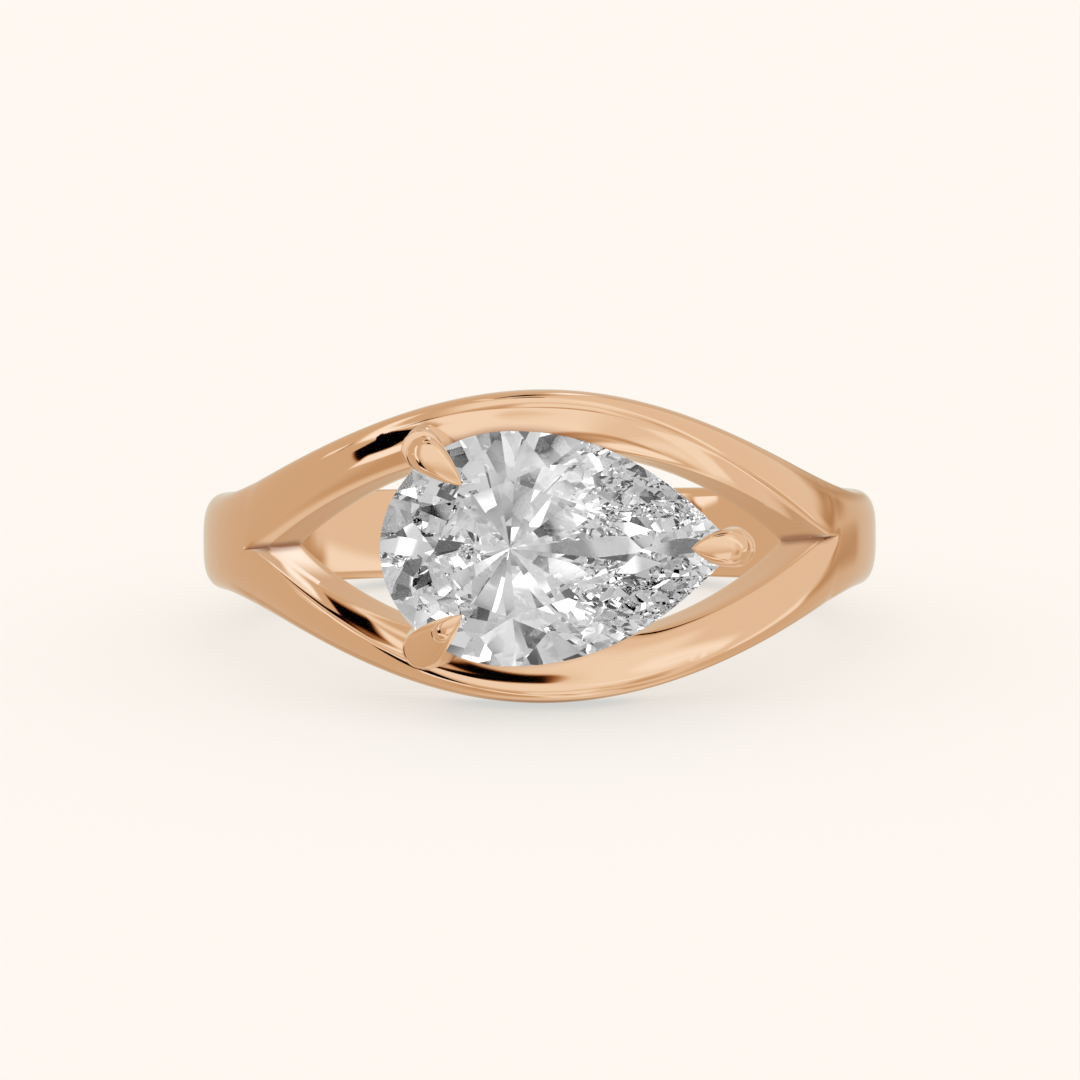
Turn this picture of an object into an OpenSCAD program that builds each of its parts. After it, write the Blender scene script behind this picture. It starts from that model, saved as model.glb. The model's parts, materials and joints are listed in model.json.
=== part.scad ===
// Split shank engagement ring: a cast rose gold ring whose shank opens at the front into two
// twisted arms, with a pear stone set sideways between them and held by three claws.
// The ring is drawn round its finger axis, Z, with the stone at the front, -Y, and the point of
// the pear to the right, +X. It is then leaned back by the angle at which it lies on its side:
// on the lower arm at the front and on the edge of the shank at the back.

/* [Finger hole and shank] */
// Radius of the finger hole
finger_r = 8.65; // [8.3:0.05:9]
// Thickness of the metal, from the finger hole to the crown
metal_t = 1.8; // [1.7:0.05:2]
// Half width of the shank at its two sides
side_half = 1.5; // [1.4:0.05:1.6]
// Half width of the shank at the back
back_half = 1.42; // [1.3:0.02:1.5]
// How far the round crown falls to the flat sides of the shank
crown_drop = 0.95; // [0.8:0.05:1.1]
// Rounding of the edges that lie against the finger
inner_round = 0.3; // [0.2:0.05:0.35]

/* [Split arms] */
// Angle from the front at which the opening between the arms ends
split_angle = 57; // [54:1:60]
// Angle past the end of the opening in which its valley runs out
valley_run = 4; // [3:1:6]
// Angle from the front at which the arms have joined the plain shank
spread_angle = 79; // [76:1:84]
// Half height over both arms at the front
arm_half = 4.6; // [4.4:0.05:4.8]
// Half height between the two ridges at the front
ridge_half = 4.12; // [4:0.02:4.2]
// Half height of the opening at the front, on the finger side
opening_half = 2.8; // [2.6:0.05:2.9]
// How much wider the opening is at the top of its upright wall
wall_flare = 0.12; // [0.05:0.01:0.2]
// Height of the upright wall of the opening, from the finger hole
wall_h = 1.1; // [1:0.05:1.2]
// How far the ends of the valley lean to one side of the middle
valley_lean = 0.16; // [0:0.02:0.2]
// How much lower the ridges are at the front than the crown of the shank
ridge_drop = 0.1; // [0:0.02:0.2]

/* [Pear stone] */
// Length from the widest place to the round end
round_len = 3.75; // [3.6:0.05:3.9]
// Length from the widest place to the point
point_len = 6.5; // [6.2:0.05:6.6]
// Half width of the stone
stone_half = 3.39; // [3.3:0.01:3.5]
// How full the sides are towards the point
point_curve = 2.2; // [2:0.1:2.4]
// How far the widest place lies to the left of the middle of the ring
stone_x = 0.95; // [0.8:0.05:1.1]
// Distance from the finger axis to the girdle
girdle_y = 12; // [11.9:0.05:12.3]
// Height of the crown, from the girdle to the table
crown_h = 0.95; // [0.8:0.05:1.1]
// Depth of the pavilion, from the girdle to the culet
pavilion_h = 2.92; // [2.88:0.01:2.96]
// Thickness of the girdle
girdle_t = 0.12; // [0.08:0.02:0.2]
// Width of the table as a share of the stone's width
table_share = 0.58; // [0.54:0.01:0.62]

/* [Claws and gallery] */
// Radius of the round wire of a claw
claw_r = 0.56; // [0.5:0.01:0.6]
// Places of the two claws at the round end, to the left of the middle and up or down
round_claw = [3.5, 2.87];
// Distance of the claw at the point, to the right of the middle
point_claw = 5.55; // [5.5:0.05:5.7]
// Length of a talon, from the middle of its wire to its tip
talon_len = 1.48; // [1.3:0.02:1.6]
// Direction of the talons at the round end, from the ring's middle line
talon_angle = 41; // [36:1:46]
// Height of the middle of a claw's dome above the girdle
dome_h = 0.5; // [0.4:0.05:0.6]
// Height of the middle of a talon's tip above the girdle
tip_h = 0.84; // [0.76:0.02:0.9]
// Radius of a talon's tip
tip_r = 0.09; // [0.06:0.01:0.12]
// How much wider a dome is than its wire
dome_over = 0.02; // [0.01:0.01:0.04]
// How far the wires at the round end reach down below the top of the opening's wall
claw_root = 0.75; // [0.6:0.05:0.8]
// Gap between the stone and the metal
stone_gap = 0.05; // [0.04:0.01:0.08]
// How far the gallery, the pear shaped loop under the stone, lies inside its outline
gallery_inset = 0.08; // [0.06:0.01:0.12]
// Width of the gallery
gallery_w = 0.85; // [0.7:0.05:0.9]
// Height of the gallery
gallery_h = 0.8; // [0.7:0.05:0.9]
// Distance from the finger axis to the underside of the gallery
gallery_y = 9.6; // [9.55:0.05:9.8]

/* [Hidden] */

gold = [0.87, 0.64, 0.48];
clear = [0.93, 0.95, 0.97, 0.6];

outer_r = finger_r + metal_t;
side_r = outer_r - crown_drop;
wall_r = finger_r + wall_h;
valley_end = split_angle + valley_run;
// The sections reach a little into the finger hole, which is then bored out round
foot_r = finger_r - 0.25;

// Angles on the round crown at which a section has its points
crown_steps = [0, 35, 58, 76, 90];

// Point of the round crown between the ridge and the flat side, as [radius, height]
function crown_point(t, ridge, side) = [
    side_r + (ridge[0] - side_r) * pow(cos(t), 2 / 3),
    ridge[1] + (side - ridge[1]) * pow(sin(t), 2 / 3)];

// The angle at which the ring lies on its side: its front rests on the inner edge of the lower
// arm, and its back on the round below the crown of the shank.
back_rest = crown_point(crown_steps[3], [outer_r, 0], back_half);
rest_tilt = atan((arm_half - back_rest[1]) / (finger_r + inner_round + back_rest[0]));

// Share of a front shape that is left at angle a, 1 at the front and 0 at the end angle
function fade(a, end) = abs(a) < end ? cos(90 * a / end) : 0;

// Half height of the metal at angle a: wide over the arms, then the shank down to its back
function side_z(a) = abs(a) < spread_angle
    ? side_half + (arm_half - side_half) * (1 + cos(180 * a / spread_angle)) / 2
    : side_half + (back_half - side_half) * (1 - cos(2 * max(0, abs(a) - 90))) / 2;

// Each arm is twisted: its ridge is crisp on one side of the front, and soft and further out on
// the other. The upper arm is soft on the left, where a is negative.
function ridge_z(a) = a < 0
    ? ridge_half * pow(fade(a, valley_end), 0.8)
    : ridge_half * pow(fade(a, split_angle + 0.4 * valley_run), 1.15);
function softness(a) = a < 0 ? pow(sin(min(90, -3 * a)), 2) : 0;

// Height of the middle line of the valley, which leans up on the right and down on the left
function valley_z(a, r) =
    valley_lean * sign(a) * (r - finger_r) / metal_t * (abs(a) < 100 ? 1 : sin(180 - abs(a)));

// Radius of the floor of the valley, which rises to the crown past the end of the opening
function floor_r(a) = abs(a) <= split_angle ? wall_r
    : min(outer_r, wall_r + (outer_r - wall_r) * (abs(a) - split_angle) / valley_run);

// Half of the section at angle a as [radius, height]: the wall of the opening, the face that
// slopes to the ridge, the round crown, the side and the edge against the finger.
function half_section(a) =
    let (open = fade(a, split_angle), top = outer_r - ridge_drop * open,
         low = [floor_r(a), (opening_half + wall_flare) * open + valley_z(a, floor_r(a)) * (1 - open)],
         ridge = [top, max(ridge_z(a), open > 0 ? low[1] + 0.1 * open : valley_z(a, top))],
         side = side_z(a), s = softness(a))
    concat(
        [[foot_r, opening_half * open], low],
        [for (t = [30, 60]) let (flat = t / 90) [
            low[0] + (ridge[0] - low[0]) * (flat + (sin(t) - flat) * s),
            low[1] + (ridge[1] - low[1]) * (flat + (1 - cos(t) - flat) * s)]],
        [for (t = crown_steps) crown_point(t, ridge, side)],
        [[finger_r + inner_round, side],
         [finger_r + 0.3 * inner_round, side - 0.3 * inner_round],
         [foot_r, side - inner_round - 2.4 * (finger_r - foot_r)]]);

// Angles of the sections: fine over the arms, and about four degrees apart round the shank
angles = concat(
    [for (k = [-29 : -1]) -valley_end + (360 - 2 * valley_end) * k / 58],
    [-valley_end, -split_angle - valley_run / 2],
    [for (k = [-20 : 20]) split_angle * k / 20],
    [split_angle + valley_run / 2, valley_end],
    [for (k = [1 : 28]) valley_end + (360 - 2 * valley_end) * k / 58]);
rings = len(angles);
count = len(half_section(0));
crown = 4;

// The lower half is the upper one turned half round about the line of sight, so each arm's
// crisp end lies across from the other's.
function ring_point(a, p, turn) = [p[0] * sin(a), -p[0] * cos(a), turn * p[1]];
points = concat(
    [for (a = angles) for (p = half_section(a)) ring_point(a, p, 1)],
    [for (a = angles) for (p = half_section(-a)) ring_point(a, p, -1)]);

// Number of a point: the two halves share the middle line past the end of the opening, and
// past the end of the valley the points up to the crown are one.
function id(half, i, j) =
    let (k = i % rings, a = abs(angles[k]), m = j % count)
    a >= valley_end && m > 0 && m <= crown ? k * count + 1
    : a >= split_angle && m <= 1 ? k * count + m
    : half * rings * count + k * count + m;

function plain(f) = f[0] != f[1] && f[1] != f[2] && f[2] != f[0];
faces = [for (half = [0, 1]) for (i = [0 : rings - 1]) for (j = [0 : count - 1])
    let (a = abs(angles[i]), b = abs(angles[(i + 1) % rings]),
         q = [id(half, i, j), id(half, i, j + 1), id(half, i + 1, j + 1), id(half, i + 1, j)])
    if (!(j == 0 && min(a, b) >= split_angle))
        for (f = [[q[0], q[1], q[2]], [q[0], q[2], q[3]]])
            if (plain(f)) half == 0 ? f : [f[2], f[1], f[0]]];

// Outline of the pear at a share of its size and less a margin, at the angle t from its point,
// where the margin is longer so that it stays as wide along the sides
point_margin = 1.45;
function pear_point(t, share, less = 0) = cos(t) > 0
    ? [(point_len * share - point_margin * less) * cos(t),
       (stone_half * share - less) * (1 - pow(cos(t), point_curve)) * sign(sin(t))]
    : [(round_len * share - less) * cos(t), (stone_half * share - less) * sin(t)];

// Where the star facets meet, as shares of the outline and of the crown's height, and where the
// lower facets meet, as shares of the outline and of the pavilion's depth
star_at = [(1 + table_share) / 2 + 0.02, 0.52];
lower_at = [0.26, 0.76];

// Rows of the cut stone as [share of the outline, height, first angle, points]
function stone_rows(grow) = let (h = girdle_t / 2) [
    [table_share, crown_h + grow, 0, 8],
    [star_at[0], h + star_at[1] * crown_h + grow, 22.5, 8],
    [1, h, 0, 32],
    [1, -h, 0, 32],
    [lower_at[0], -h - lower_at[1] * pavilion_h - grow, 22.5, 8]];

function row_points(row, less) = [for (k = [0 : row[3] - 1])
    concat(pear_point(row[2] + 360 * k / row[3], row[0], less), [row[1]])];

module stone_body(grow = 0) {
    rows = stone_rows(grow);
    culet = [0, 0, -pavilion_h - girdle_t / 2 - 1.5 * grow];
    pts = concat([for (row = rows) each row_points(row, -grow)], [culet]);
    // first numbers of the table, star, upper girdle, lower girdle and pavilion rows
    t = 0;
    s = 8;
    u = 16;
    l = 48;
    p = 80;
    c = 88;
    polyhedron(pts, concat(
        [[for (k = [7 : -1 : 0]) t + k]],
        [for (k = [0 : 7]) let (n = (k + 1) % 8) each [
            [t + k, t + n, s + k],
            [s + k, u + 4 * k, t + k],
            [s + k, t + n, u + 4 * n],
            [p + k, c, l + 4 * k],
            [p + k, l + 4 * n, c]]],
        [for (k = [0 : 7]) for (m = [0 : 3]) let (g = 4 * k + m, h = (g + 1) % 32) each [
            [s + k, u + h, u + g],
            [u + g, u + h, l + g],
            [u + h, l + h, l + g],
            [p + k, l + g, l + h]]]));
}

// Things at the front are drawn with +Z out along the line of sight, at the stone's place
module at_stone() translate([-stone_x, -girdle_y, 0]) rotate([90, 0, 0]) children();

// A claw is a round wire with a domed head that narrows to a talon over the stone
module claw(x, y, angle, foot) {
    translate([x, y, 0]) {
        translate([0, 0, foot]) cylinder(r = claw_r - dome_over, h = dome_h - foot, $fn = 48);
        hull($fn = 24) {
            translate([0, 0, dome_h]) sphere(r = claw_r);
            rotate(angle) translate([talon_len - tip_r, 0, tip_h]) sphere(r = tip_r, $fn = 12);
        }
    }
}

module gallery_outline(less) polygon([for (k = [0 : 47]) pear_point(7.5 * k, 1, less)]);

module ring_setting() color(gold) rest() difference() {
    union() {
        polyhedron(points, faces);
        at_stone() {
            difference() {
                union() {
                    for (up = [1, -1])
                        claw(stone_x - round_claw[0], up * round_claw[1], -up * talon_angle,
                             wall_r - claw_root - girdle_y);
                    claw(stone_x + point_claw, 0, 180, gallery_y + gallery_h / 4 - girdle_y);
                }
                stone_body(stone_gap);
            }
            translate([0, 0, gallery_y - girdle_y]) linear_extrude(gallery_h) difference() {
                gallery_outline(gallery_inset);
                gallery_outline(gallery_inset + gallery_w);
            }
        }
    }
    cylinder(r = finger_r, h = 4 * arm_half, center = true, $fn = 180);
}

module pear_stone() color(clear) rest() at_stone() stone_body();

// The ring lies on the surface, with the middle of its outline over the origin. Its claws are
// what reaches furthest to the front.
function laid(p) = [p[0], p[1] * cos(rest_tilt) + p[2] * sin(rest_tilt),
                    p[2] * cos(rest_tilt) - p[1] * sin(rest_tilt)];
low_z = min([for (p = points) laid(p)[2]]);
back_y = max([for (p = points) laid(p)[1]]);
front_y = laid([0, -girdle_y - dome_h, -round_claw[1]])[1] - claw_r;
module rest() translate([0, -(front_y + back_y) / 2, -low_z]) rotate([-rest_tilt, 0, 0]) children();

ring_setting();
pear_stone();
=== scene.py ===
import json
import math

import bmesh
import bpy
from mathutils import Matrix, Quaternion, Vector

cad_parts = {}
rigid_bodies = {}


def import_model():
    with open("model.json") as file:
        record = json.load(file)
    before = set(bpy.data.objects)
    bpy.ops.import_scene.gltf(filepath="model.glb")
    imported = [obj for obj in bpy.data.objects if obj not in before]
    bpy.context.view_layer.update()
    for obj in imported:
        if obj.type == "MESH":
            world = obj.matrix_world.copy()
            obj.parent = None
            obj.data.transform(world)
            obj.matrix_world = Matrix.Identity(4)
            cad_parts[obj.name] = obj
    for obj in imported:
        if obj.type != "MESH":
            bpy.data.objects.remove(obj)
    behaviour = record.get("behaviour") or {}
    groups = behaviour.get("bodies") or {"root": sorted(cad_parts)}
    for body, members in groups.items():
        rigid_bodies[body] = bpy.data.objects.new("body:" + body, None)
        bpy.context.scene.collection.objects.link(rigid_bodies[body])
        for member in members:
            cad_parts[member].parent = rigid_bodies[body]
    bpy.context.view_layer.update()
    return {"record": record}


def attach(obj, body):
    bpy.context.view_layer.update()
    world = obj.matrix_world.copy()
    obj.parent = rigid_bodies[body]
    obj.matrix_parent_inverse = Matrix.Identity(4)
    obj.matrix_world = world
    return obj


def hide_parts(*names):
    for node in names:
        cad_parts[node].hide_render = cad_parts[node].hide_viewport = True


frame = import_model()

# The shank is cast in rose gold in one piece with its two arms. Round the finger it is a plain band
# with a round crown. At the front it splits, and each arm twists, so that its ridge is crisp at one
# end and rolls over softly at the other. A valley runs out where the arms meet.
mm = 0.001
finger_hole = frame["record"]["mounts"][0]
hole_axis = Vector(finger_hole["axis"])
lean = math.atan2(hole_axis.y, hole_axis.z)
# The ring is drawn round its finger axis, Z, with the stone towards -Y and the point of the pear
# towards +X. It lies on its side, so this leans it back to the frame's finger hole.
lay_down = Matrix.Translation(finger_hole["pos_m"]) @ Matrix.Rotation(-lean, 4, "X")


def finish_piece(bm, name, material, place=lay_down):
    """Lays a closed mesh where it belongs, and makes it a piece on the ring's one body."""
    bmesh.ops.recalc_face_normals(bm, faces=bm.faces)
    bm.transform(place)
    mesh = bpy.data.meshes.new(name)
    bm.to_mesh(mesh)
    bm.free()
    mesh.materials.append(material)
    piece = bpy.data.objects.new(name, mesh)
    bpy.context.scene.collection.objects.link(piece)
    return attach(piece, "root")


gold_colour = (0.85, 0.49, 0.29, 1)
gold_pale = (0.87, 0.51, 0.31, 1)
# Painted shade: the deep red that the creases are darkened to
crease_shade_colour = (0.3, 0.09, 0.03, 1)
alloy_scale = 220
rub_scale, rub_detail = 900, 4
gold_roughness = 0.05
rub_share = 0.3
# Painted crease shade: how far it looks for nearby metal, and the open share at which the painted
# shade is darkest and at which it ends
crease_reach, crease_rays = 0.5 * mm, 8
crease_shut, crease_open = 0.2, 0.65


def polished_gold():
    """Rose gold: its alloy isn't quite even, shade is painted deep red into its creases, and wear
    has rubbed it.
    """
    material = bpy.data.materials.new("rose_gold")
    material.use_nodes = True
    nodes, links = material.node_tree.nodes, material.node_tree.links
    shader = nodes["Principled BSDF"]
    shader.inputs["Metallic"].default_value = 1
    place = nodes.new("ShaderNodeTexCoord")

    alloy = nodes.new("ShaderNodeTexNoise")
    alloy.inputs["Scale"].default_value = alloy_scale
    links.new(place.outputs["Object"], alloy.inputs["Vector"])
    colour = nodes.new("ShaderNodeMix")
    colour.data_type = "RGBA"
    colour.inputs["A"].default_value = gold_colour
    colour.inputs["B"].default_value = gold_pale
    links.new(alloy.outputs["Fac"], colour.inputs["Factor"])

    # Painted shade: in a crease the base colour is darkened towards deep red, standing in for the
    # gold mirroring itself again and again
    crease = nodes.new("ShaderNodeAmbientOcclusion")
    crease.samples = crease_rays
    crease.inputs["Distance"].default_value = crease_reach
    open_share = nodes.new("ShaderNodeMapRange")
    open_share.inputs["From Min"].default_value = crease_shut
    open_share.inputs["From Max"].default_value = crease_open
    links.new(crease.outputs["AO"], open_share.inputs["Value"])
    crease_shaded = nodes.new("ShaderNodeMix")
    crease_shaded.data_type = "RGBA"
    crease_shaded.inputs["A"].default_value = crease_shade_colour
    links.new(open_share.outputs["Result"], crease_shaded.inputs["Factor"])
    links.new(colour.outputs["Result"], crease_shaded.inputs["B"])
    links.new(crease_shaded.outputs["Result"], shader.inputs["Base Color"])

    rub = nodes.new("ShaderNodeTexNoise")
    rub.inputs["Scale"].default_value = rub_scale
    rub.inputs["Detail"].default_value = rub_detail
    links.new(place.outputs["Object"], rub.inputs["Vector"])
    gloss = nodes.new("ShaderNodeMapRange")
    gloss.inputs["To Min"].default_value = gold_roughness * (1 - rub_share)
    gloss.inputs["To Max"].default_value = gold_roughness * (1 + rub_share)
    links.new(rub.outputs["Fac"], gloss.inputs["Value"])
    links.new(gloss.outputs["Result"], shader.inputs["Roughness"])
    return material


rose_gold = polished_gold()

# The band: its metal, its half widths at the sides and the back, and the drop and fullness of its
# round crown, which is crispest over the right of the upper arm and the left of the lower one
finger_r = finger_hole["dims"]["r_mm"] * mm
metal_t = 1.8 * mm
side_half = 1.5 * mm
back_half = 1.42 * mm
crown_drop = 0.95 * mm
crown_soft, crown_crisp = 0.67, 1
crisp_angle, crisp_spread = 30, 50
inner_round = 0.3 * mm
# The split, in degrees from the front: the end of the opening, the run of the valley past it, and
# the place where the arms have joined the plain band
split_angle = 57
valley_run = 2
spread_angle = 79
# Half heights at the front, over the arms, between the ridges and inside the opening, and the
# opening's upright wall
arm_half = 4.6 * mm
ridge_half = 4.12 * mm
opening_half = 2.8 * mm
wall_h = 1.1 * mm
wall_flare = 0.12 * mm
# The twist: how the ridge falls away on its soft and its crisp side, the share of the valley's run
# that the crisp side reaches, how far round it has rolled over, how hollow the slope to it is, and
# how much lower it lies than the crown
soft_fall, crisp_fall = 0.8, 1.15
crisp_reach = 0.4
roll_angle = 30
dish = 0.025
ridge_drop = 0.1 * mm
least_slope = 0.1 * mm
# The wheel's rounding of the ridge, with more of it at the front and where the arms meet, and the
# most that it takes of the slope and of the crown
wheel_round, front_round, joint_round = 0.04 * mm, 0.07 * mm, 0.12 * mm
front_spread, joint_angle, joint_spread = 50, 46, 16
slope_share, crown_share = 0.5, 0.3
# How far the valley's middle line leans, and the angle past which it leans less and less
valley_lean = 0.16 * mm
lean_angle = 100

outer_r = finger_r + metal_t
side_r = outer_r - crown_drop
wall_r = finger_r + wall_h
valley_end = split_angle + valley_run
crisp_end = split_angle + crisp_reach * valley_run


def wave(degrees):
    """Height of a wave that is 1 at the start and 0 a quarter turn on."""
    return math.cos(math.radians(degrees))


def fade(angle, end):
    """Share of a front shape that is left at an angle: 1 at the front and 0 at the end angle."""
    return wave(90 * angle / end) if abs(angle) < end else 0


def side_height(angle):
    """Half width of the metal: wide over the arms, then the plain shank."""
    if abs(angle) < spread_angle:
        return side_half + (arm_half - side_half) * (1 + wave(180 * angle / spread_angle)) / 2
    narrowing = (1 - wave(2 * max(0, abs(angle) - 90))) / 2
    return side_half + (back_half - side_half) * narrowing


def ridge_height(angle):
    """Height of the ridge, which stands further out on its soft side, the left of the upper arm."""
    if angle < 0:
        return ridge_half * fade(angle, valley_end) ** soft_fall
    return ridge_half * fade(angle, crisp_end) ** crisp_fall


def softness(angle):
    """How much of the face that slopes to the ridge is rolled over it."""
    return (1 - wave(min(180, -180 * angle / roll_angle))) / 2 if angle < 0 else 0


def ridge_round(angle):
    """Length over which the ridge is rounded off by the polishing wheel."""
    at_joint = fade(angle - joint_angle, joint_spread)
    return wheel_round + front_round * fade(angle, front_spread) ** 2 + joint_round * at_joint


def valley_height(angle, radius):
    """Height of the valley's middle line, which leans up on the right and down on the left."""
    lean_here = 1 if abs(angle) < lean_angle else math.sin(math.radians(180 - abs(angle)))
    return math.copysign(valley_lean, angle) * (radius - finger_r) / metal_t * lean_here


def floor_radius(angle):
    """Radius of the valley's floor, which rises to the crown past the end of the opening."""
    if abs(angle) <= split_angle:
        return wall_r
    return min(outer_r, wall_r + (outer_r - wall_r) * (abs(angle) - split_angle) / valley_run)


# Number of faces along each part of a section
wall_steps, slope_steps, ridge_steps, crown_steps, side_steps, round_steps = 4, 8, 6, 14, 4, 4


def upper_section(angle):
    """The upper half of the section at an angle from the front, as points of radius and height:
    the wall of the opening, the slope to the ridge, the crown, the side and the finger's edge."""
    opened = fade(angle, split_angle)
    foot = (finger_r, opening_half * opened)
    floor = floor_radius(angle)
    middle = valley_height(angle, floor) * (1 - opened)
    low = (floor, (opening_half + wall_flare) * opened + middle)
    top = outer_r - ridge_drop * opened
    least = low[1] + least_slope * opened if opened > 0 else valley_height(angle, top)
    ridge = (top, max(ridge_height(angle), least))
    side, soft = side_height(angle), softness(angle)
    slope = math.hypot(ridge[0] - low[0], ridge[1] - low[1])
    most = min(slope_share * slope, crown_share * (side - ridge[1]))
    worn = min(ridge_round(angle), most) * (1 - soft)
    before = [r + (w - r) * worn / slope if slope else r for r, w in zip(ridge, low)]
    after = (top, ridge[1] + worn)
    points = []
    for k in range(wall_steps):
        t = k / wall_steps
        points.append((foot[0] + (low[0] - foot[0]) * t, foot[1] + (low[1] - foot[1]) * t))
    for k in range(slope_steps):
        t = k / slope_steps
        rolled = math.sin(math.radians(90 * t)), 1 - wave(90 * t)
        hollow = dish * 4 * t * (1 - t) * slope * (1 - soft)
        points.append((low[0] + (before[0] - low[0]) * (t + (rolled[0] - t) * soft) - hollow,
                       low[1] + (before[1] - low[1]) * (t + (rolled[1] - t) * soft) + hollow))
    for k in range(ridge_steps):
        t = k / ridge_steps
        points.append(tuple(a * (1 - t) ** 2 + b * 2 * t * (1 - t) + c * t * t
                            for a, b, c in zip(before, ridge, after)))
    curve = crown_soft + (crown_crisp - crown_soft) * fade(angle - crisp_angle, crisp_spread)
    for k in range(crown_steps):
        t = 90 * k / crown_steps
        points.append((side_r + (top - side_r) * max(wave(t), 0) ** curve,
                       after[1] + (side - after[1]) * math.sin(math.radians(t)) ** curve))
    for k in range(side_steps):
        t = k / side_steps
        points.append((side_r + (finger_r + inner_round - side_r) * t, side))
    for k in range(round_steps + 1):
        t = math.radians(90 * k / round_steps)
        points.append((finger_r + inner_round * (1 - math.sin(t)),
                       side - inner_round * (1 - math.cos(t))))
    return points


sections_round = 360
weld = 0.002 * mm
crisp_edge = math.radians(22)
rim_polish = 0.05 * mm

# Each point of the front section keeps its number, so that it can be sent to its place in the
# section at its angle after the spin
band = bmesh.new()
station = band.verts.layers.int.new("station")
start = [band.verts.new((0, -r, z)) for r, z in upper_section(0)]
for number, vert in enumerate(start):
    vert[station] = number
band.edges.new((start[-1], start[0]))
for a, b in zip(start, start[1:]):
    band.edges.new((a, b))
bmesh.ops.spin(band, geom=band.verts[:] + band.edges[:], cent=(0, 0, 0), axis=(0, 0, 1),
               dvec=(0, 0, 0), angle=math.tau, steps=sections_round, use_merge=True)
sections = {}
for vert in band.verts:
    angle = round(math.degrees(math.atan2(vert.co.x, -vert.co.y)), 3)
    if angle not in sections:
        sections[angle] = upper_section(angle)
    r, z = sections[angle][vert[station]]
    vert.co = (r * math.sin(math.radians(angle)), -r * math.cos(math.radians(angle)), z)


def joined_here(face):
    """True for the faces on the middle line past the opening, where the two halves are one."""
    x, y, _ = face.calc_center_median()
    past_opening = abs(math.degrees(math.atan2(x, -y))) > split_angle
    return past_opening and all(vert[station] <= wall_steps for vert in face.verts)


# The lower half is the upper one turned half a turn about the line of sight
bmesh.ops.delete(band, geom=[face for face in band.faces if joined_here(face)], context="FACES")
lower = bmesh.ops.duplicate(band, geom=band.verts[:] + band.edges[:] + band.faces[:])["geom"]
bmesh.ops.rotate(band, verts=[v for v in lower if isinstance(v, bmesh.types.BMVert)],
                 cent=(0, 0, 0), matrix=Matrix.Rotation(math.pi, 3, "Y"))
bmesh.ops.remove_doubles(band, verts=band.verts, dist=weld)
bmesh.ops.recalc_face_normals(band, faces=band.faces)
crisp = [e for e in band.edges if e.is_manifold and e.calc_face_angle() > crisp_edge]
bmesh.ops.bevel(band, geom=crisp, offset=rim_polish, segments=3, profile=0.5, affect="EDGES",
                material=-1, clamp_overlap=True)
for face in band.faces:
    face.smooth = True
shank = finish_piece(band, "shank", rose_gold)
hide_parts("ring_setting")

# The gallery is a pear shaped loop of flat gold wire under the stone. It is soldered between the
# arms, carries the claw at the stone's point, and its edges are softened with a file.

# The pear's outline, from its widest place to both ends, and its place in front of the finger axis
round_len = 3.75 * mm
point_len = 6.5 * mm
stone_half = 3.39 * mm
point_curve = 2.2
point_margin = 1.45
stone_x = 0.95 * mm
girdle_y = 12 * mm
set_stone = (lay_down @ Matrix.Translation((-stone_x, -girdle_y, 0))
             @ Matrix.Rotation(math.pi / 2, 4, "X"))
# The loop lies a little inside that outline
gallery_inset = 0.08 * mm
gallery_w = 0.85 * mm
gallery_h = 0.8 * mm
gallery_y = 9.6 * mm
sharp_rim = math.radians(60)
filed_edge = 0.12 * mm
pear_steps = 96


def pear_point(turn, share=1, less=0):
    """A point of the pear's outline for a turn from its tip, at a share of its size less a bit."""
    half = stone_half * share - less
    if math.cos(turn) > 0:
        along = (point_len * share - point_margin * less) * math.cos(turn)
        return along, math.copysign(half * (1 - math.cos(turn) ** point_curve), math.sin(turn))
    return (round_len * share - less) * math.cos(turn), half * math.sin(turn)


loop = bmesh.new()
outer = bmesh.ops.create_circle(loop, segments=pear_steps, radius=1)["verts"]
strip = bmesh.ops.extrude_edge_only(loop, edges=loop.edges[:])["geom"]
inner = [vert for vert in strip if isinstance(vert, bmesh.types.BMVert)]
for verts, inset in ((outer, gallery_inset), (inner, gallery_inset + gallery_w)):
    for vert in verts:
        turn = math.atan2(vert.co.y, vert.co.x)
        vert.co = (*pear_point(turn, less=inset), gallery_y - girdle_y)
raised = bmesh.ops.extrude_face_region(loop, geom=loop.faces[:])["geom"]
bmesh.ops.translate(loop, verts=[v for v in raised if isinstance(v, bmesh.types.BMVert)],
                    vec=(0, 0, gallery_h))
bmesh.ops.recalc_face_normals(loop, faces=loop.faces)
rims = [e for e in loop.edges if e.is_manifold and e.calc_face_angle() > sharp_rim]
bmesh.ops.bevel(loop, geom=rims, offset=filed_edge, segments=3, profile=0.5, affect="EDGES",
                material=-1, clamp_overlap=True)
for face in loop.faces:
    face.smooth = True
gallery = finish_piece(loop, "gallery", rose_gold, set_stone)

# The stone is a pear cut diamond: a block with the pear's outline, on which a table, 8 mains,
# 8 stars and 16 upper facets are ground above the girdle, and 16 mains and 24 lower facets below.
crown_h = 0.95 * mm
pavilion_h = 2.92 * mm
girdle_t = 0.12 * mm
table_share = 0.58
# Where stars and lower facets meet, as shares of the outline and of the crown's or pavilion's height
star_share, star_h = (1 + table_share) / 2 + 0.02, 0.52
lower_share, lower_h = 0.06, 0.95
# Towards the point there are no lower facets: only past the turn with this cosine
lowers_from = 0.3
# How far the small facets bite into the girdle, the play of a cut, and the step along the edge
# that gives a main its direction
scallop = 0.03 * mm
cut_play = 0.0005 * mm
edge_step = 0.04
# Turns of the mains from the stone's point, in degrees. Below, the first and the last are wider,
# because the outline is long and narrow towards the point.
crown_turns = [45 * k for k in range(8)]
pavilion_turns = [0, 55, 80, 97, 113, 130, 146, 163, 180, 197, 214, 230, 247, 263, 280, 305]


def on_pear(turn, share, height):
    """A point over the pear's outline, or over a share of it."""
    return Vector((*pear_point(turn, share), height))


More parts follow.
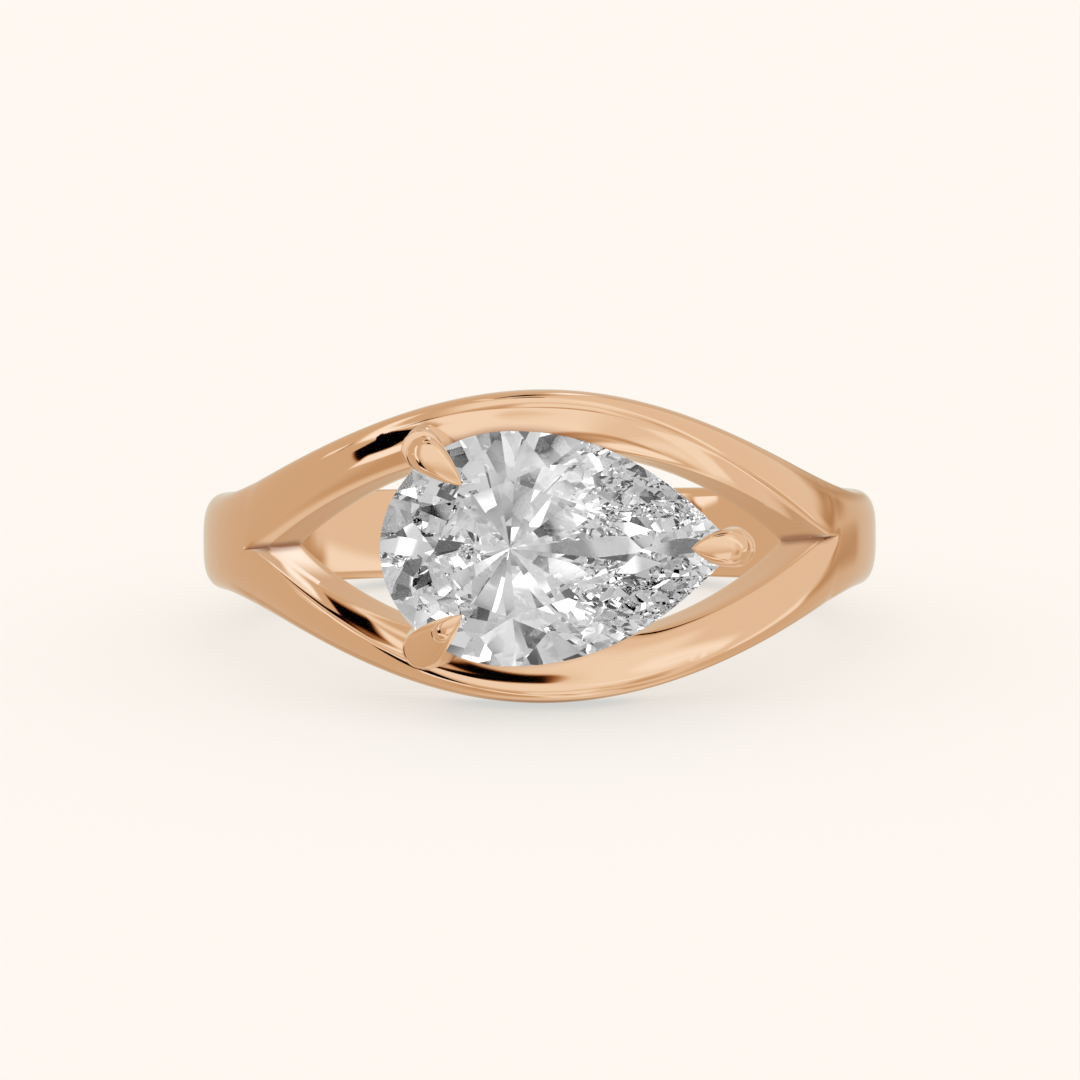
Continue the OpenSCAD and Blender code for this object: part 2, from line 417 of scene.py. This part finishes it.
def cut_facet(block, a, b, c):
    """Grinds a block flat along the plane through three points, and closes the cut."""
    normal = (b - a).cross(c - a).normalized()
    if normal.dot(a) < 0:
        normal = -normal
    cut = bmesh.ops.bisect_plane(block, geom=block.verts[:] + block.edges[:] + block.faces[:],
                                 dist=cut_play, plane_co=a, plane_no=normal, clear_outer=True)
    edges = [e for e in cut["geom_cut"] if isinstance(e, bmesh.types.BMEdge) and e.is_boundary]
    if len(edges) > 2:
        bmesh.ops.edgeloop_fill(block, edges=edges)


def cut_stone(grow=0):
    """The cut stone, or one a little larger, with the table towards +Z and the point towards +X."""
    block = bmesh.new()
    bmesh.ops.create_circle(block, cap_ends=True, segments=pear_steps, radius=1)
    for vert in block.verts:
        vert.co = on_pear(math.atan2(vert.co.y, vert.co.x), 1, -pavilion_h - girdle_t)
    grown = bmesh.ops.extrude_face_region(block, geom=block.faces[:])["geom"]
    bmesh.ops.translate(block, verts=[v for v in grown if isinstance(v, bmesh.types.BMVert)],
                        vec=(0, 0, crown_h + 2 * pavilion_h))
    bmesh.ops.recalc_face_normals(block, faces=block.faces)
    top, bottom = girdle_t / 2, -girdle_t / 2
    culet = Vector((0, 0, -pavilion_h - girdle_t / 2))
    table = [on_pear(math.radians(turn), table_share, crown_h) for turn in crown_turns + [360]]
    cut_facet(block, *table[:3])
    for degrees, height in ((crown_turns, top), (pavilion_turns, bottom)):
        turns = [math.radians(d) for d in degrees] + [math.tau]
        for k, turn in enumerate(turns[:-1]):
            edge, along = on_pear(turn, 1, height), Vector((0, 1, 0))
            if k:
                along = on_pear(turn + edge_step, 1, 0) - on_pear(turn - edge_step, 1, 0)
            cut_facet(block, edge, edge + along, table[k] if height == top else culet)
        for k, (turn, end) in enumerate(zip(turns, turns[1:])):
            middle = (turn + end) / 2
            if height == top:
                rim, reach = top + scallop, on_pear(middle, star_share, top + star_h * crown_h)
                cut_facet(block, table[k], table[k + 1], reach)
            elif math.cos(middle) < lowers_from:
                rim = bottom - scallop
                reach = on_pear(middle, lower_share, bottom - lower_h * pavilion_h)
            else:
                continue
            for side in (turn, end):
                cut_facet(block, on_pear(side, 1, rim), on_pear(middle, 1, rim), reach)
    if grow:
        bmesh.ops.recalc_face_normals(block, faces=block.faces)
        for vert in block.verts:
            vert.co += vert.normal * grow
    return block


diamond_index = 2.417
# The grease: the size of its traces, how thick it must be to show, and how dull it is there
grease_scale = 700
grease_from = 0.62
grease_haze = 0.01


def clear_diamond():
    """Diamond: clear, colourless and smooth, with a trace of grease from handling on its faces."""
    material = bpy.data.materials.new("diamond")
    material.use_nodes = True
    nodes, links = material.node_tree.nodes, material.node_tree.links
    shader = nodes["Principled BSDF"]
    shader.inputs["Transmission Weight"].default_value = 1
    shader.inputs["IOR"].default_value = diamond_index
    shader.inputs["Base Color"].default_value = (1, 1, 1, 1)
    place = nodes.new("ShaderNodeTexCoord")
    grease = nodes.new("ShaderNodeTexNoise")
    grease.inputs["Scale"].default_value = grease_scale
    links.new(place.outputs["Object"], grease.inputs["Vector"])
    haze = nodes.new("ShaderNodeMapRange")
    haze.inputs["From Min"].default_value = grease_from
    haze.inputs["To Min"].default_value = 0
    haze.inputs["To Max"].default_value = grease_haze
    links.new(grease.outputs["Fac"], haze.inputs["Value"])
    links.new(haze.outputs["Result"], shader.inputs["Roughness"])

    # The gold round the stone does not mirror it: rays that come off the gold pass it by, but
    # those that the stone mirrors inside itself are kept
    path = nodes.new("ShaderNodeLightPath")
    outside = nodes.new("ShaderNodeMath")
    outside.operation = "LESS_THAN"
    links.new(path.outputs["Transmission Depth"], outside.inputs[0])
    outside.inputs[1].default_value = 0.5
    off_gold = nodes.new("ShaderNodeMath")
    off_gold.operation = "MULTIPLY"
    links.new(path.outputs["Is Glossy Ray"], off_gold.inputs[0])
    links.new(outside.outputs["Value"], off_gold.inputs[1])
    seen = nodes.new("ShaderNodeMath")
    seen.operation = "SUBTRACT"
    seen.inputs[0].default_value = 1
    links.new(off_gold.outputs["Value"], seen.inputs[1])
    links.new(seen.outputs["Value"], shader.inputs["Alpha"])
    return material


stone = finish_piece(cut_stone(), "stone", clear_diamond(), set_stone)
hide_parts("pear_stone")

# Three claws of round gold wire stand round the stone, two soldered into the arms at its round end
# and one on the gallery at its point. Each head is filed flat, with a leaf left standing on it that
# bends over the stone's edge, and a seat is cut in the wire for the girdle.
claw_r = 0.56 * mm
wire_steps = 64
# How much wider a head is than its wire, and how far the wire reaches down into what carries it
head_over = 0.02 * mm
arm_root, gallery_root = 0.75 * mm, 0.6 * mm
stone_gap = 0.05 * mm
# Heights in mm over the girdle, with the share of the head's outline at each, and the same for the
# leaf that stands on it
disc_steps = ((0.14, 0.98), (0.28, 1), (0.48, 1), (0.505, 0.993), (0.52, 0.97), (0.521, 0.95))
leaf_steps = ((0.524, 1.04), (0.526, 1), (0.56, 0.975), (0.68, 0.95), (0.8, 0.89), (0.89, 0.78),
              (0.96, 0.63), (1.01, 0.46), (1.04, 0.26), (1.05, 0.12))
leaf_foot_h = 0.52 * mm
slope_reach = 0.5 * claw_r
# The leaf's layers move forward as they shrink, and flatten towards the height of its tip
leaf_forward = 0.93
tip_h = 0.8 * mm
tip_thin = 0.8
# Heights in mm over the place where the wire is soldered on, with the share of the solder's spread
solder_steps = ((0, 1), (0.1, 0.56), (0.25, 0.2), (0.45, 0.02), (0.6, 0))


def leaf_point(turn, talon_len, curve):
    """A point of the head's outline for a turn from its tip: leaf in front, round wire behind."""
    if math.cos(turn) > 0:
        aside = math.copysign(claw_r * (1 - math.cos(turn) ** curve), turn)
        return talon_len * math.cos(turn), aside
    return claw_r * math.cos(turn), claw_r * math.sin(turn)


def make_claw(name, x, y, angle, root, solder, flare, talon_len, curve, leaf_share, head_slope=0):
    """A claw beside the stone, whose leaf points along an angle over it. The wire is soldered on at
    a height, with a flare of solder, and reaches down a root's length below that."""
    wire_r = claw_r - head_over
    wire = bmesh.new()
    turn_of = wire.verts.layers.float.new("turn")
    bmesh.ops.create_circle(wire, cap_ends=True, segments=wire_steps, radius=1)
    for vert in wire.verts:
        vert[turn_of] = math.atan2(vert.co.y, vert.co.x)
        vert.co = (wire_r * vert.co.x, wire_r * vert.co.y, solder - root)
    shaft = [(solder + h * mm, 1 + flare * share, False) for h, share in solder_steps]
    disc = [(h * mm, share, True) for h, share in disc_steps]
    leaf = [(h * mm, leaf_share * share, True) for h, share in leaf_steps]
    ring = wire.edges[:]
    for height, share, is_head in shaft + [(0, 1, False)] + disc + leaf:
        grown = bmesh.ops.extrude_edge_only(wire, edges=ring)["geom"]
        ring = [e for e in grown if isinstance(e, bmesh.types.BMEdge)]
        for vert in {v for e in ring for v in e.verts}:
            turn = vert[turn_of]
            if is_head:
                forward, aside = (c * share for c in leaf_point(turn, talon_len, curve))
                forward += leaf_forward * talon_len * (1 - share)
                thin = 1 - tip_thin * min(1, max(0, forward / talon_len))
                tilt = head_slope * min(forward, slope_reach) * min(1, height / leaf_foot_h)
                vert.co = (forward, aside, tip_h + (height - tip_h) * thin + tilt)
            else:
                reach = wire_r * share
                inward = Vector((reach - wire_r, 0, 0))
                inward.rotate(Matrix.Rotation(-angle, 3, "Z"))
                vert.co = Vector((reach * math.cos(turn), reach * math.sin(turn), height)) + inward
    bmesh.ops.edgeloop_fill(wire, edges=ring)
    bmesh.ops.recalc_face_normals(wire, faces=wire.faces)
    # The two flat ends have many corners and stay flat
    for face in wire.faces:
        face.smooth = len(face.verts) < 5
    wire.transform(Matrix.Translation((x, y, 0)) @ Matrix.Rotation(angle, 4, "Z"))
    piece = finish_piece(wire, name, rose_gold, set_stone)
    seat = finish_piece(cut_stone(stone_gap), "seat", rose_gold, set_stone)
    notch = piece.modifiers.new("seat", "BOOLEAN")
    notch.object = seat
    notch.solver = "EXACT"
    shown = bpy.context.evaluated_depsgraph_get()
    notched = bpy.data.meshes.new_from_object(piece.evaluated_get(shown))
    piece.modifiers.clear()
    piece.data = notched
    bpy.data.objects.remove(seat)


# The two claws at the round end are alike, but the lower one has a thinner leaf on a sloping head
round_x, round_y, point_x = 3.5 * mm, 2.87 * mm, 5.55 * mm
talon_angle = math.radians(41)
at_arm = dict(root=arm_root, solder=wall_r - girdle_y, flare=0.4, talon_len=1.64 * mm, curve=1.7)
at_gallery = dict(root=gallery_root, solder=gallery_y + gallery_h - girdle_y, flare=0.06,
                  talon_len=1.3 * mm, curve=2.4)
make_claw("claw_upper", stone_x - round_x, round_y, -talon_angle, leaf_share=0.9, **at_arm)
make_claw("claw_lower", stone_x - round_x, -round_y, talon_angle, leaf_share=0.5, head_slope=0.13,
          **at_arm)
make_claw("claw_point", stone_x + point_x, 0, math.pi, leaf_share=0.93, **at_gallery)

# The floor is a sheet of cream paper without an end in sight. It is lit from below as well as from
# the tent, so that the ring's shadow on it stays faint and grey.
floor_colour = (0.99, 0.938, 0.88)
# Share of each colour that comes from above, and the tent's light on the paper
shaded_share = (0.45, 0.36, 0.33)
paper_light = 1.1
floor_r, floor_steps = 3, 96
paper = bmesh.new()
bmesh.ops.create_circle(paper, cap_ends=True, segments=floor_steps, radius=floor_r)
floor_mesh = bpy.data.meshes.new("floor")
paper.to_mesh(floor_mesh)
paper.free()
floor = bpy.data.objects.new("floor", floor_mesh)
bpy.context.scene.collection.objects.link(floor)
floor_material = bpy.data.materials.new("floor")
floor_material.use_nodes = True
matt = floor_material.node_tree.nodes["Principled BSDF"]
from_above = [c * s for c, s in zip(floor_colour, shaded_share)]
from_below = [c * (1 - s) for c, s in zip(floor_colour, shaded_share)]
matt.inputs["Base Color"].default_value = [c / paper_light for c in from_above] + [1]
matt.inputs["Emission Color"].default_value = from_below + [1]
matt.inputs["Emission Strength"].default_value = 1
matt.inputs["Roughness"].default_value = 1
matt.inputs["Specular IOR Level"].default_value = 0
floor_mesh.materials.append(floor_material)

# The studio is a tent of white cloth all round the ring, with panels and black flags that the
# polished metal mirrors. The paper takes the even light of the tent alone. The pieces mirror
# the studio and not each other, as in the photo.
tent = 0.72
# The bright panels are a little bluer than the cloth, and the shade between them is warmer: power
# and share of the brightness for red and for blue
red_power, red_share = 0.6, 0.9
blue_power, blue_share = 1.5, 1.02
# What the sharp facets of the stone pick up: dark gaps, grey cloth and a few lamps, as a place in
# the pattern of the cloth's seams and a brightness
seam_tones = ((0.4, 0), (0.44, 0.42), (0.5, 0.63), (0.6, 0.72), (0.63, 1.8))
seam_scale, seam_detail, seam_bend = 7, 2, 3
mirror_bounces, all_bounces = 24, 32
# Each panel or flag: azimuth from the camera to the right, elevation, roll, half width, half
# height and soft edge in degrees, and brightness. Later ones hang in front of earlier ones.
panels = (
    # the cloth in front of the ring and at its right
    (0, -45, 0, 34, 34, 14, 0.56),
    (75, 38, 0, 58, 50, 10, 0.97),
    (0, 36, 0, 32, 30, 12, 1.2),
    (38, -20, 0, 20, 16, 8, 0.95),
    # panels and streaks under the camera
    (7, -14, 0, 13, 14, 4, 1.2),
    (-6, -40, -38, 24, 7, 4, 1.28),
    (26, -63, -52, 20, 10, 5, 1.25),
    (16, -54, 0, 3.5, 12, 2.5, 1.02),
    (14, -42, -30, 13, 1.5, 1.2, 0.5),
    (27, -43, -42, 16, 2, 1.2, 1.4),
    # under the ring and low behind it
    (120, -75, 0, 25, 25, 12, 0.95),
    (31, -71, 0, 8, 7, 3, 1.3),
    (-176, -44, 0, 32, 15, 4, 0.57),
    # strips of light and shade on the right
    (42, 24, -40, 28, 5, 5, 1.4),
    (88, -8, 0, 20, 3, 2, 1.3),
    (120, -9, 0, 18, 3, 4, 0.45),
    (124, 3, 35, 14, 4, 4, 0.4),
    (153, 7, -18, 18, 3, 4, 0.45),
    (37, -6, 0, 7, 7, 5, 0.6),
    # on the left, a black flag with lamps round it
    (-66, 26, 25, 6, 20, 4, 1.45),
    (-44, -8, 28, 13, 12, 0.8, 0),
    (-52, 7, -25, 13, 5, 2, 1.5),
    (-41, -25, -12, 10, 5.5, 1.5, 1.45),
    (-78, 10, 0, 6, 2, 1.2, 1.5),
    (-72.2, 8.6, 36, 3, 0.9, 0.7, 0.2),
    # lamps and black flags overhead
    (171, 45, 0, 3, 10, 3, 1.6),
    (-90, 72.5, 0, 15, 2, 2, 1.2),
    (-156, 77, -50, 4.6, 14, 1.5, 0),
    (-12, 72, 10, 5.7, 5, 1.5, 0),
    (-68, 81, 0, 4, 4, 2, 1.35),
)


def panel_group():
    """A mask that is 1 on a flat panel far off, and fades over its soft edge."""
    group = bpy.data.node_groups.new("panel", "ShaderNodeTree")
    for name in ("Direction", "Facing", "Across", "Up"):
        group.interface.new_socket(name, in_out="INPUT", socket_type="NodeSocketVector")
    for name in ("Half Width", "Half Height", "Edge"):
        group.interface.new_socket(name, in_out="INPUT", socket_type="NodeSocketFloat")
    group.interface.new_socket("Mask", in_out="OUTPUT", socket_type="NodeSocketFloat")
    nodes, links = group.nodes, group.links
    given, result = nodes.new("NodeGroupInput"), nodes.new("NodeGroupOutput")

    def math_node(operation, a, b):
        node = nodes.new("ShaderNodeMath")
        node.operation = operation
        for socket, value in zip(node.inputs, (a, b)):
            if isinstance(value, bpy.types.NodeSocket):
                links.new(value, socket)
            else:
                socket.default_value = value
        return node.outputs["Value"]

    def along(name):
        node = nodes.new("ShaderNodeVectorMath")
        node.operation = "DOT_PRODUCT"
        links.new(given.outputs["Direction"], node.inputs[0])
        links.new(given.outputs[name], node.inputs[1])
        return node.outputs["Value"]

    mask = math_node("GREATER_THAN", along("Facing"), 0)
    for side, half in (("Across", "Half Width"), ("Up", "Half Height")):
        offset = math_node("ABSOLUTE", math_node("DIVIDE", along(side), along("Facing")), 0)
        soft = nodes.new("ShaderNodeMapRange")
        soft.interpolation_type = "SMOOTHSTEP"
        links.new(offset, soft.inputs["Value"])
        size, rim = given.outputs[half], given.outputs["Edge"]
        links.new(math_node("ADD", size, rim), soft.inputs["From Min"])
        links.new(math_node("SUBTRACT", size, rim), soft.inputs["From Max"])
        mask = math_node("MULTIPLY", mask, soft.outputs["Result"])
    links.new(mask, result.inputs["Mask"])
    return group


world = bpy.data.worlds.new("studio")
bpy.context.scene.world = world
world.use_nodes = True
world.cycles.sampling_method = "NONE"
world_nodes, world_links = world.node_tree.nodes, world.node_tree.links


def world_power(value, power, share):
    """A share of a brightness raised to a power."""
    raised = world_nodes.new("ShaderNodeMath")
    raised.operation = "POWER"
    world_links.new(value, raised.inputs[0])
    raised.inputs[1].default_value = power
    scaled = world_nodes.new("ShaderNodeMath")
    scaled.operation = "MULTIPLY"
    world_links.new(raised.outputs["Value"], scaled.inputs[0])
    scaled.inputs[1].default_value = share
    return scaled.outputs["Value"]


direction = world_nodes.new("ShaderNodeTexCoord").outputs["Generated"]
rays = world_nodes.new("ShaderNodeLightPath")
cloth = world_nodes.new("ShaderNodeValue")
cloth.outputs["Value"].default_value = tent
light = cloth.outputs["Value"]
panel_mask = panel_group()
for azimuth, elevation, roll, half_w, half_h, edge, bright in panels:
    aim = (Matrix.Rotation(math.radians(azimuth), 3, "Z")
           @ Matrix.Rotation(-math.radians(elevation), 3, "X")
           @ Matrix.Rotation(-math.radians(roll), 3, "Y"))
    hung = world_nodes.new("ShaderNodeGroup")
    hung.node_tree = panel_mask
    world_links.new(direction, hung.inputs["Direction"])
    hung.inputs["Facing"].default_value = aim @ Vector((0, -1, 0))
    hung.inputs["Across"].default_value = aim @ Vector((1, 0, 0))
    hung.inputs["Up"].default_value = aim @ Vector((0, 0, 1))
    hung.inputs["Half Width"].default_value = math.tan(math.radians(half_w))
    hung.inputs["Half Height"].default_value = math.tan(math.radians(half_h))
    hung.inputs["Edge"].default_value = math.tan(math.radians(edge))
    over = world_nodes.new("ShaderNodeMix")
    world_links.new(hung.outputs["Mask"], over.inputs["Factor"])
    world_links.new(light, over.inputs["A"])
    over.inputs["B"].default_value = bright
    light = over.outputs["Result"]
tinted = world_nodes.new("ShaderNodeCombineColor")
world_links.new(world_power(light, red_power, red_share), tinted.inputs["Red"])
world_links.new(light, tinted.inputs["Green"])
world_links.new(world_power(light, blue_power, blue_share), tinted.inputs["Blue"])

# The stone's rays meet the seams of the cloth, and the paper's meet its even light
seams = world_nodes.new("ShaderNodeTexNoise")
seams.inputs["Scale"].default_value = seam_scale
seams.inputs["Detail"].default_value = seam_detail
seams.inputs["Distortion"].default_value = seam_bend
world_links.new(direction, seams.inputs["Vector"])
seam_tone = world_nodes.new("ShaderNodeValToRGB")
tones = seam_tone.color_ramp.elements
while len(tones) < len(seam_tones):
    tones.new(1)
for tone, (seam, bright) in zip(tones, seam_tones):
    tone.position = seam
    tone.color = (bright, bright, bright, 1)
world_links.new(seams.outputs["Fac"], seam_tone.inputs["Fac"])
at_stone = world_nodes.new("ShaderNodeMath")
at_stone.operation = "MAXIMUM"
world_links.new(rays.outputs["Is Singular Ray"], at_stone.inputs[0])
world_links.new(rays.outputs["Is Transmission Ray"], at_stone.inputs[1])
through = world_nodes.new("ShaderNodeMix")
through.data_type = "RGBA"
world_links.new(at_stone.outputs["Value"], through.inputs["Factor"])
world_links.new(tinted.outputs["Color"], through.inputs["A"])
world_links.new(seam_tone.outputs["Color"], through.inputs["B"])
even = world_nodes.new("ShaderNodeMix")
even.data_type = "RGBA"
world_links.new(rays.outputs["Is Diffuse Ray"], even.inputs["Factor"])
world_links.new(through.outputs["Result"], even.inputs["A"])
even.inputs["B"].default_value = (paper_light, paper_light, paper_light, 1)
world_links.new(even.outputs["Result"], world_nodes["Background"].inputs["Color"])
world_nodes["Background"].inputs["Strength"].default_value = 1

for piece in bpy.data.objects:
    piece.visible_glossy = piece == stone
    piece.visible_transmission = piece == stone
bpy.context.scene.cycles.glossy_bounces = mirror_bounces
bpy.context.scene.cycles.transmission_bounces = mirror_bounces
bpy.context.scene.cycles.max_bounces = all_bounces
bpy.context.scene.view_settings.view_transform = "Standard"

# The camera stands 160 mm from the middle of the ring and looks square at its front. The ring
# leans back, so the camera is above the floor. Its angles are degrees off the ring's own front,
# and its lens and shift are in pixels of the square picture.
view_distance = 160 * mm
view_up, view_side, view_roll = 1.4, -0.45, -0.25
picture_px = 1080
lens_px = 5136
shift_px = (0.4, -1.6)
film_mm = 36
back = Vector((math.sin(math.radians(view_side)) * wave(view_up), -wave(view_side) * wave(view_up),
               math.sin(math.radians(view_up))))
back = (lay_down.to_3x3() @ back).normalized()
camera = bpy.data.objects.new("camera", bpy.data.cameras.new("camera"))
bpy.context.scene.collection.objects.link(camera)
camera.data.sensor_width = film_mm
camera.data.lens = film_mm * lens_px / picture_px
camera.data.clip_start = 1 * mm
camera.data.shift_x = shift_px[0] / picture_px
camera.data.shift_y = shift_px[1] / picture_px
camera.rotation_mode = "QUATERNION"
camera.location = Vector(finger_hole["pos_m"]) + back * view_distance
roll = Quaternion(back, math.radians(view_roll))
camera.rotation_quaternion = roll @ (-back).to_track_quat("-Z", "Y")
bpy.context.scene.camera = camera
